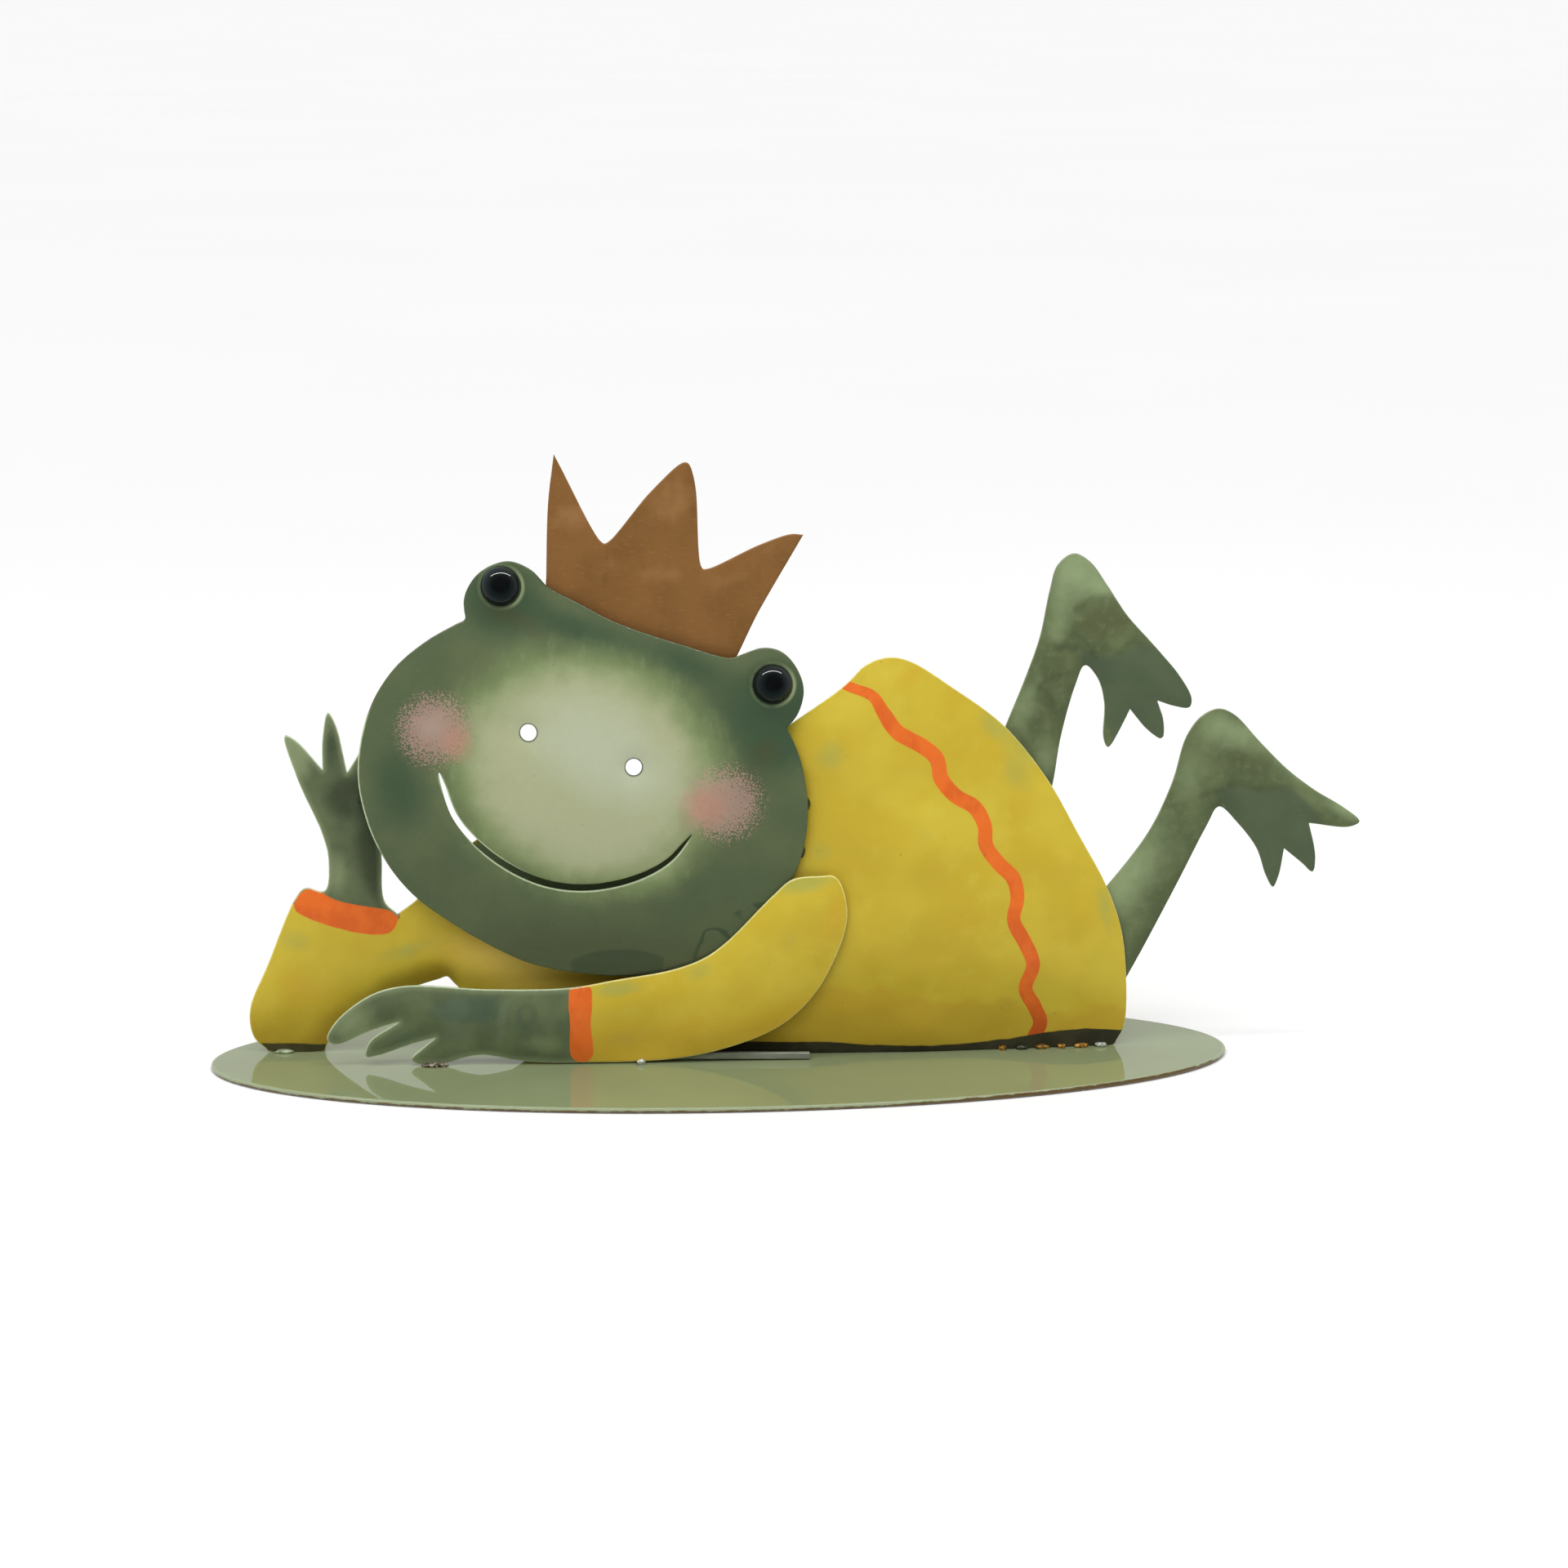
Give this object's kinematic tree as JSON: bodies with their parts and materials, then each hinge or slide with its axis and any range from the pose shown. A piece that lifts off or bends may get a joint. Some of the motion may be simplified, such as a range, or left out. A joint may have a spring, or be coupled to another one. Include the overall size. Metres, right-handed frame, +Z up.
{
  "type": "painted sheet-metal frog figure",
  "caption": "Painted sheet-metal frog with a crown, lying on its belly on an oval base plate with its chin propped on one hand.",
  "frame": {"origin": "middle of the base plate's underside, on the surface the figure stands on", "axes": "+X along the figure towards its feet, -Y the side that the face looks to, +Z up"},
  "size_m": [0.3547, 0.128, 0.187],
  "materials": {
    "base_lacquer": "glossy pale sage-green lacquer, brown where the rim is worn",
    "dress_paint": "hand-brushed yellow over green under clear lacquer, dented sheet",
    "skin_paint": "airbrushed sage green, darker at the toes, clear lacquer",
    "face_paint": "airbrushed from pale sage in the middle to dark green at the rim, pink cheeks",
    "crown_paint": "brushed copper-gold paint",
    "eye_glass": "black bead, polished",
    "bare_steel": "square steel bar with thin grey-green paint",
    "weld_metal": "rough weld beads, browned and partly painted over"
  },
  "bodies": {
    "root": {"base_plate": "base_lacquer", "torso_shell": "dress_paint", "propping_arm": "dress_paint", "front_arm": "dress_paint", "near_leg": "skin_paint", "far_leg": "skin_paint", "head_panel": "face_paint", "crown": "crown_paint", "left_eye": "eye_glass", "right_eye": "eye_glass", "arm_foot_bar": "bare_steel", "seat_weld_1": "weld_metal", "seat_weld_2": "weld_metal", "seat_weld_3": "weld_metal", "seat_weld_4": "weld_metal", "seat_weld_5": "weld_metal", "seat_weld_6": "weld_metal", "elbow_weld": "weld_metal", "finger_weld": "weld_metal", "sleeve_weld": "weld_metal", "head_to_hand_tack": "weld_metal", "head_to_back_tack": "weld_metal", "head_to_shoulder_tack": "weld_metal", "sleeve_to_shoulder_tack": "weld_metal", "arm_to_neck_tack": "weld_metal", "near_leg_tack": "weld_metal", "far_leg_tack": "weld_metal", "crown_tack_left": "weld_metal", "crown_tack_right": "weld_metal"}
  },
  "joints": []
}
